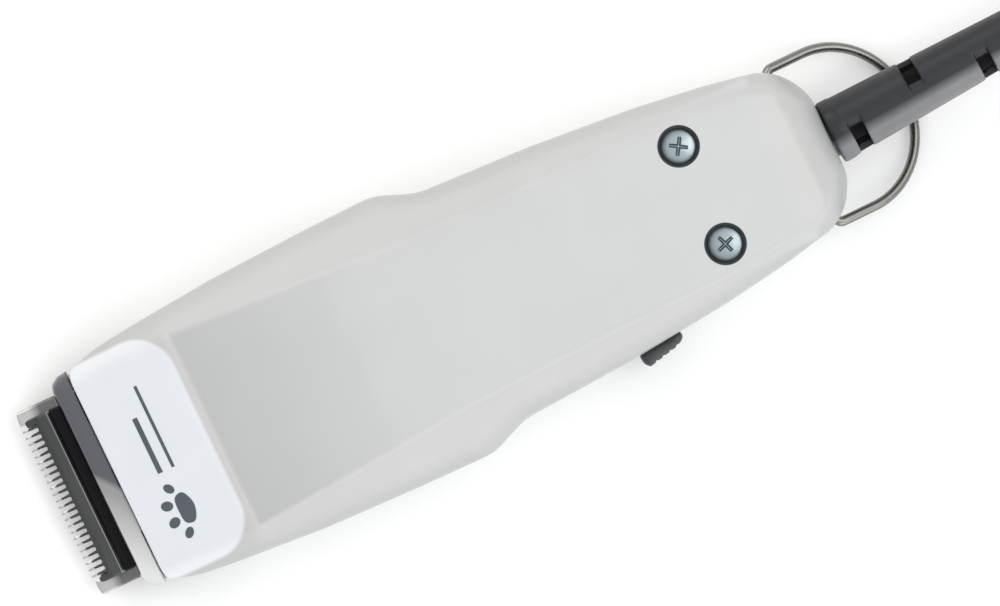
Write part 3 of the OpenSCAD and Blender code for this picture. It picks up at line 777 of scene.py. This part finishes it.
def lower_field(x, y, z):
    """The lower shell, open above, with its slots for the blades, the switch, the cord and the loop."""
    plan = plan_field(x, y, 0.9)
    belly = (belly_height(x) - z) / np.sqrt(1 + belly_slope(x) ** 2)
    outside = blend_max(plan + 0.02 * (SEAM - z), belly, 4.5)
    solid = blend_max(outside, z - SEAM, 0.3)
    solid = np.maximum(solid, -np.maximum(plan + WALL, belly + WALL + 0.2))
    nose = np.maximum(x - NOSE_CUT, z - NOSE_Z)
    slot = np.maximum(np.maximum(x - NOSE_CUT, z - NOSE_Z - 3), np.abs(y) - 17.2)
    solid = blend_max(solid, -np.minimum(nose, slot), 0.4)
    u, v, w = to_switch(x, y, z)
    solid = np.maximum(solid, -np.maximum(np.maximum(slab(u, -7.1, 3.1), slab(v, -6, 4)), slab(w, -2, 2)))
    solid = np.maximum(solid, -relief_hole(x, y, z))
    screw_hole = np.maximum(np.hypot(x - STROKE_SCREW_AT[0], z - STROKE_SCREW_AT[1]) - 2.55, 10 - y)
    dimple = np.maximum(np.hypot(x - LOOP_AT.x, z - LOOP_AT.z) - 2.2, 12.3 - np.abs(y))
    return blend_max(np.maximum(solid, -screw_hole), -dimple, 0.5)


# ---- Thumb switch ----
SWITCH_AT = (30.8, -18.73, 7.6)
SWITCH_YAW = math.radians(5.4)


def to_switch(x, y, z):
    """A place in the switch's own frame: along the wall, into the housing, and up."""
    dx, dy = x - SWITCH_AT[0], y - SWITCH_AT[1]
    c, s = math.cos(SWITCH_YAW), math.sin(SWITCH_YAW)
    return c * dx + s * dy, -s * dx + c * dy, z - SWITCH_AT[2]


def slider_field(x, y, z):
    """The thumb piece: a sloped outer face with grip grooves, and its neck through the wall."""
    u, v, w = to_switch(x, y, z)
    face = np.interp(u, [-3.5, -2.6, 2.8, 4.7], [-2.5, -3.08, -2.45, -1.7])
    knob = blend_max(face - v, v + 0.32, 0.5)
    knob = blend_max(knob, slab(u, -3.4, 4.6), 0.9)
    knob = blend_max(knob, np.abs(w) - 3.8, 1.3)
    for groove in (-1.3, 0.1, 1.5, 2.9):
        knob = blend_max(knob, -(np.hypot(u - groove, v - face) - 0.22), 0.2)
    neck = np.maximum(np.maximum(slab(u, -2.8, 2.8), slab(v, -0.6, 2.9)), np.abs(w) - 1.7)
    plate = blend_max(blend_max(slab(u, -4.6, 4.6), slab(v, 2.5, 3.3), 0.2), np.abs(w) - 3.4, 0.3)
    return np.minimum(np.minimum(knob, neck), plate)


# ---- Nose ----
TRIM_FRONT = -63.5


def trim_field(x, y, z):
    """The polished band: a thin shell round the nose, in front of the cover."""
    half = np.interp(x, [TRIM_FRONT, -62.9, -61.6, FRONT], [17.2, 18.5, 19.3, 19.55])
    top = np.interp(x, [TRIM_FRONT, -63.1, FRONT], [9.8, 10.8, 15.35])
    side = (np.abs(y) - half) * 0.85
    over = np.abs(y) - panel_half(x)
    roof = (z - top + SIDE_SLOPE * blend_max(over, 0 * over, 1.8) + 0.0009 * y * y) * 0.62
    outside = blend_max(blend_max(side, roof, 1.1), TRIM_FRONT - x, 0.8)
    solid = np.maximum(outside, x - FRONT + 0.12)
    solid = blend_max(solid, NOSE_Z - z, 0.3)
    return np.maximum(solid, -np.maximum(outside + 0.9, x - FRONT - 1))


TOOTH_PITCH = 1.16
TOOTH_COUNT = 24
TOOTH_SPAN = TOOTH_PITCH * TOOTH_COUNT / 2
COMB_HALF = 16.8
CUTTER_HALF = 14.9


def tooth_field(x, y, root, half):
    """A row of tapered teeth that point to -X, with round roots; half is half a tooth's width at x."""
    across = np.mod(y + TOOTH_SPAN, TOOTH_PITCH) - TOOTH_PITCH / 2
    gap = TOOTH_PITCH / 2 - half - np.abs(np.abs(across) - TOOTH_PITCH / 2)
    slot = blend_max(-gap, x - root, 0.25)
    return np.where(np.abs(y) < TOOTH_SPAN, -slot, root - 99 - x)


def comb_teeth_field(x, y, z):
    """The comb blade's front: fine teeth between two broad corner teeth."""
    half = np.interp(x, [COMB_TIP, -70.6, COMB_ROOT], [0.13, 0.19, 0.30])
    top = z - np.interp(x, [COMB_TIP, -70.4, -60], [4.5, 4.78, 4.8])
    under = np.interp(x, [COMB_TIP, -65, -60], [4.2, 2.4, 2.4]) - z
    body = blend_max(top, under * 0.95, 0.25)
    past = np.abs(y) - TOOTH_SPAN
    front = COMB_TIP - x + np.where(past < 0, 0, 0.2 + 0.12 * (past - 1.2) ** 2)
    body = blend_max(body, front, 0.25)
    body = blend_max(body, np.abs(y) - COMB_HALF, 0.5)
    corner_gap = np.maximum(slab(np.abs(y), TOOTH_SPAN + 0.02, TOOTH_SPAN + 0.42), x - COMB_ROOT)
    body = np.maximum(body, -corner_gap)
    return blend_max(np.maximum(body, tooth_field(x, y, COMB_ROOT, half)), x + 63.5, 0.1)


def cutter_teeth_field(x, y, z):
    """The cutter's front: fine teeth under a raised step."""
    half = np.interp(x, [CUTTER_TIP, -69.5, CUTTER_ROOT], [0.13, 0.18, 0.28])
    height = np.interp(x, [CUTTER_TIP, -69.5, -68.1, -67.5, -65.8, -65.3, -65.25, -56],
                       [5.15, 5.4, 6.7, 7, 7, 6.55, 6.1, 6.1])
    body = blend_max((z - height) * 0.8, 4.9 - z, 0.15)
    body = blend_max(body, CUTTER_TIP - x, 0.2)
    body = blend_max(body, np.abs(y) - CUTTER_HALF, 0.5)
    return blend_max(np.maximum(body, tooth_field(x, y, CUTTER_ROOT, half)), x + 63.0, 0.1)


def blade_plate(front, rear, half, chamfer, low, high, look, edge):
    """The flat plate behind a blade's teeth, with its rear corners cut off."""
    side = [(front, half), (rear - chamfer, half), (rear, half - chamfer)]
    outline = [(x, -y) for x, y in side] + side[::-1]
    return soften(prism("plate", outline, low, high, look), edge)


def build_blades():
    """The comb's and the cutter's teeth, each joined to its plate."""
    low, high = (-71.4, -17.1, 2.1), (-63.2, 17.1, 5.1)
    teeth = field_object("teeth", comb_teeth_field, low, high, 0.16, "comb", 50)
    plate = blade_plate(-64, -48, COMB_HALF, 2, 2.4, 4.8, "comb", 0.15)
    place_piece(join("comb_blade_ground", teeth, plate), "housing", "comb_steel", "comb_blade")
    low, high = (-70.2, -15.2, 4.7), (-62.8, 15.2, 7.3)
    teeth = field_object("teeth", cutter_teeth_field, low, high, 0.14, "cutter", 50)
    plate = blade_plate(-63.4, -56.5, CUTTER_HALF, 1.5, 4.9, 6.1, "cutter", 0.1)
    place_piece(join("cutter_blade_ground", teeth, plate), "cutter", "cutter_steel", "cutter_blade")


def build_housing():
    """The two shells, with the holes that are cut exactly, and the nose band."""
    low, high = (-60.6, -24.6, 11.2), (72.6, 24.6, 34)
    cover = field_object("cover_shell", cover_field, low, high, 0.5, "cover")
    for cx, cy in RECESS:
        at = Matrix.Translation((cx, cy, 0))
        carve(cover, lathe("tool", [(RECESS_R, RECESS_Z), (RECESS_R, 36)], "cover", at, 96))
    place_piece(cover, "housing", "cover_plastic", "top_cover")
    low, high = (-61, -23.6, -0.8), (REAR, 23.6, 12.6)
    lower = field_object("lower_shell", lower_field, low, high, 0.5, "housing")
    carve(lower, prism("tool", [(-16, -8), (16, -8), (16, 8), (-16, 8)], -1, 0.3, "housing"))
    across = Matrix.Translation(LOOP_AT) @ Matrix.Rotation(math.pi / 2, 4, "X")
    pivot_r = WIRE_D / 2 + 0.05
    carve(lower, lathe("tool", [(pivot_r, -30), (pivot_r, 30)], "housing", across, 32))
    place_piece(lower, "housing", "housing_plastic", "bottom_housing")
    low, high = (-64.1, -20.3, 7), (-59.2, 20.3, 16.4)
    trim = field_object("nose_band", trim_field, low, high, 0.24, "chrome", 30)
    place_piece(trim, "housing", "trim_chrome", "nose_trim")


build_housing()
build_blades()


def build_slider():
    """The switch's thumb piece, which slides along the wall."""
    low, high = (25.4, -24, 3.2), (36.2, -14.4, 12)
    slider = field_object("thumb_slider", slider_field, low, high, 0.24, "switch", 45)
    place_piece(slider, "switch", "switch_plastic", "switch_slider")


build_slider()


# ---- Print on the nose ----
def build_print():
    """A paw and two bars, a hair above the nose's flat face."""
    middle_x = -51.5
    rise = (CREASE_Z - FRONT_Z) / (NOSE_CREASE - FRONT)
    along = Vector((1, 0, rise)).normalized()
    across = Vector((0, 1, 0))
    up = along.cross(across)
    start = Vector((middle_x, 0, FRONT_Z + rise * (middle_x - FRONT)))
    place = Matrix((along, across, up)).transposed().to_4x4()
    place.translation = start

    def oval(u, v, ru, rv, lean):
        out = []
        c, s = math.cos(lean), math.sin(lean)
        for k in range(36):
            a = 2 * math.pi * k / 36
            du, dv = ru * math.cos(a), rv * math.sin(a)
            out.append((u + du * c - dv * s, v + du * s + dv * c))
        return out

    pad = [(2.3, -9.6), (1.1, -12.1), (-1.0, -11.8), (-1.4, -9.6), (-1.0, -7.4), (1.1, -7.1)]
    smooth = []
    for i in range(len(pad)):
        a, b, c, d = [Vector(pad[(i + k - 1) % len(pad)]) for k in range(4)]
        smooth += [tuple(between(a, b, c, d, k / 8)) for k in range(8)]
    shapes = [smooth, oval(-1.3, -13.6, 1.15, 0.78, 0.5), oval(-3.3, -11.1, 1.3, 0.84, 0.15),
              oval(-3.3, -8.1, 1.3, 0.84, -0.15), oval(-1.3, -5.6, 1.15, 0.78, -0.5)]
    for u, low, high, width in ((-1.4, -2.6, 7.4, 0.55), (1.7, -2.6, 12.2, 0.34)):
        shapes.append([(u - width, low), (u + width, low), (u + width, high), (u - width, high)])
    parts = [prism("shape", shape, -0.05, 0.05, "print", place) for shape in shapes]
    place_piece(join("nose_print", *parts), "housing", "nose_print")


build_print()


# ---- Screws ----
def pan_head(at, turn):
    """A domed head with a cross recess of tapered slots, its seat at the given place."""
    profile = [(1.4, -0.02), (2.9, 0.0), (3.0, 0.1), (3.0, 0.7), (2.95, 0.82)]
    dome = (2.88, 2.6, 2.3, 1.9, 1.5, 1.1, 0.7, 0.35, 0.05)
    profile += [(r, 0.9 + 0.5 * (1 - (r / 2.9) ** 2)) for r in dome]
    place = Matrix.Translation(at) @ Matrix.Rotation(turn, 4, "Z")
    head = lathe("head", profile, "zinc", place, 72)
    lie_down = Matrix.Rotation(math.pi / 2, 4, "X")
    for k in range(2):
        cross = place @ Matrix.Rotation(k * math.pi / 2, 4, "Z") @ lie_down
        groove = [(-0.05, 0.45), (0.05, 0.45), (0.5, 1.9), (-0.5, 1.9)]
        carve(head, prism("tool", groove, -1.6, 1.6, "zinc", cross))
    return head


def build_screws():
    parts = []
    for i, (cx, cy) in enumerate(RECESS):
        head = pan_head((cx, cy, RECESS_Z), math.radians(20 + 38 * i))
        profile = [(1.42, RECESS_Z - 20), (1.42, RECESS_Z + 0.05)]
        parts += [head, lathe("shank", profile, "zinc", Matrix.Translation((cx, cy, 0)), 32)]
    place_piece(join("cover_screw_pair", *parts), "housing", "screw_zinc", "cover_screws")


build_screws()

# ---- Hanging loop ----
LOOP_PITCH = math.radians(22.3)
LOOP_HALF = 14.1
LOOP_LENGTH = 21.2
LOOP_BEND = 1.3
LOOP_STRAIGHT = 7.5


def build_loop():
    """A sprung wire: two pivots, round elbows, straight sides and a round tip."""
    half = [Vector((0, LOOP_HALF - 4.2 + 0.4 * k, 0)) for k in range(8)]
    for a in np.linspace(math.pi, math.pi / 2, 9)[1:]:
        elbow = Vector((math.cos(a), math.sin(a), 0)) * LOOP_BEND
        half.append(Vector((LOOP_BEND, LOOP_HALF - LOOP_BEND, 0)) + elbow)
    half += [Vector((x, LOOP_HALF, 0)) for x in np.linspace(LOOP_BEND, LOOP_STRAIGHT, 8)[1:]]
    for a in np.linspace(0, math.pi / 2, 30)[1:]:
        reach = (LOOP_LENGTH - LOOP_STRAIGHT) * math.sin(a)
        half.append(Vector((LOOP_STRAIGHT + reach, LOOP_HALF * math.cos(a), 0)))
    path = half + [Vector((p.x, -p.y, 0)) for p in half[-2::-1]]
    turn = Matrix.Rotation(LOOP_PITCH, 4, "Y")
    wire = wire_object("loop_wire", [LOOP_AT + turn @ p for p in path], WIRE_D, "nickel")
    place_piece(wire, "loop", "loop_nickel", "hanging_loop")


build_loop()

# ---- Strain relief ----
POCKETS = 5
POCKET_START, POCKET_END, POCKET_PITCH = 3.4, 5.9, 12.0


def to_relief(x, y, z):
    """A place in the strain relief's own frame: along its axis, across it and up."""
    dx = x - REAR
    c, s = math.cos(RELIEF_YAW), math.sin(RELIEF_YAW)
    return c * dx + s * y, -s * dx + c * y, z - SEAM


def relief_radius(u):
    """The sleeve's radius at a distance u from the housing's rear wall."""
    return np.interp(u, [RELIEF_START, RELIEF_L], RELIEF_R)


def relief_field(x, y, z):
    """A tapered sleeve with a collar, and pockets on one side and the other in turn."""
    u, v, w = to_relief(x, y, z)
    away = np.hypot(v, w)
    radius = relief_radius(u)
    sleeve = blend_max(away - radius, slab(u, RELIEF_START, RELIEF_L), 0.7)
    collar = blend_max(away - RELIEF_R[0] - 0.05, slab(u, RELIEF_START, 2.6), 0.5)
    sleeve = blend_min(sleeve, collar, 0.3)
    cord = away - CORD_D / 2
    for i in range(POCKETS):
        side = -1 if i % 2 == 0 else 1
        shift = POCKET_PITCH * i
        end = np.minimum(0.9, radius - 0.4 - w)
        across = np.maximum(slab(u, POCKET_START + shift, POCKET_END + shift), end - side * v)
        cut = np.maximum(across, -1.2 - w)
        sleeve = blend_max(sleeve, -np.maximum(cut, -cord), 0.3)
    neck = np.maximum(away - 4.0, slab(u, -WALL - 1.4, 0.6))
    flange = np.maximum(away - 5.6, slab(u, -WALL - 3.4, -WALL - 1.3))
    return np.minimum(np.minimum(sleeve, neck), flange)


def paint_pocket_shade(made):
    """Gives the faces deep inside the pockets a matt near-black, darker than the rubber and the cord
    behind them: painted shade.
    """
    made.data.materials.append(LOOKS["pocket_shade"])
    for face in made.data.polygons:
        along, across, up = to_relief(*(face.center / MM))
        depth = relief_radius(along) - math.hypot(across, up)
        if 3.0 < along < RELIEF_L - 1 and depth > 1.0:
            face.material_index = 1


def build_relief():
    low, high = (65.4, -7, 5.6), (130, 9.4, 18.4)
    relief = field_object("relief_sleeve", relief_field, low, high, 0.34, "relief", 45)
    paint_pocket_shade(relief)
    place_piece(relief, "housing", "relief_rubber", "strain_relief")


build_relief()


# ---- CAD pieces that keep their shape ----
KEPT = {
    "blade_screws": "zinc", "cutter_driver": "black", "tension_spring": "spring", "stator_core": "core",
    "coil_bobbin": "black", "coil_winding": "copper", "core_screws": "zinc", "drive_lever": "alloy",
    "armature_block": "core", "armature_rivets": "spring", "pivot_pin": "spring", "pivot_clip": "spring",
    "return_springs": "spring", "power_screw": "zinc", "bump_stops": "stop", "switch_body": "black",
    "switch_screws": "zinc", "inner_cord": "cord", "cord_clamp": "black", "clamp_screws": "zinc",
    "lead_wires": "wire", "rating_plate": "foil",
}
for name, look in KEPT.items():
    nodes[name].data.materials.clear()
    nodes[name].data.materials.append(LOOKS[look])


# ---- Floor and lights ----
def add_floor():
    """A pale paper floor, a hair below the part."""
    bpy.ops.mesh.primitive_plane_add(size=6, location=(0, 0, -0.00005))
    floor = bpy.context.object
    floor.name = "floor"
    material, tree, shader = new_material("floor_paper")
    fine = object_noise(tree, (1, 1, 1), 300.0)
    paper = mix_colour(tree, fine, (0.92, 0.92, 0.92), (0.935, 0.935, 0.935))
    tree.links.new(paper, shader.inputs["Base Color"])
    shader.inputs["Roughness"].default_value = 0.9
    shader.inputs["Specular IOR Level"].default_value = 0.1
    shader.inputs["Emission Color"].default_value = (1, 1, 1, 1)
    shader.inputs["Emission Strength"].default_value = 0.1
    floor.data.materials.append(material)


def add_light(name, place, target, size, power, colour=(1, 1, 1)):
    data = bpy.data.lights.new(name, "AREA")
    data.shape = "RECTANGLE"
    data.size, data.size_y = size
    data.energy = power
    data.color = colour
    light = bpy.data.objects.new(name, data)
    bpy.context.scene.collection.objects.link(light)
    light.location = place
    light.rotation_euler = (Vector(target) - Vector(place)).to_track_quat("-Z", "Y").to_euler()


def add_world():
    """A pale sky that is dimmer at the horizon than overhead."""
    world = bpy.data.worlds.new("world")
    world.use_nodes = True
    sky = world.node_tree
    background = sky.nodes["Background"]
    split = sky.nodes.new("ShaderNodeSeparateXYZ")
    sky.links.new(sky.nodes.new("ShaderNodeTexCoord").outputs["Generated"], split.inputs["Vector"])
    sky.links.new(ramp(sky, split.outputs["Z"], 0, 0.7, 0.5, 0.95), background.inputs["Strength"])
    background.inputs["Color"].default_value = (0.97, 0.985, 1.0, 1)
    bpy.context.scene.world = world


add_floor()
add_light("key", (0.35, -1.2, 0.5), (0, 0, 0.02), (1.5, 0.5), 5)
add_light("fill", (-0.2, 1.1, 0.8), (0, 0, 0.02), (1.4, 0.7), 5.5, (1.0, 0.95, 0.84))
add_light("top", (0.9, -0.2, 1.4), (0, 0, 0), (1.1, 1.1), 6)
add_world()
bpy.context.scene.view_settings.view_transform = "Standard"
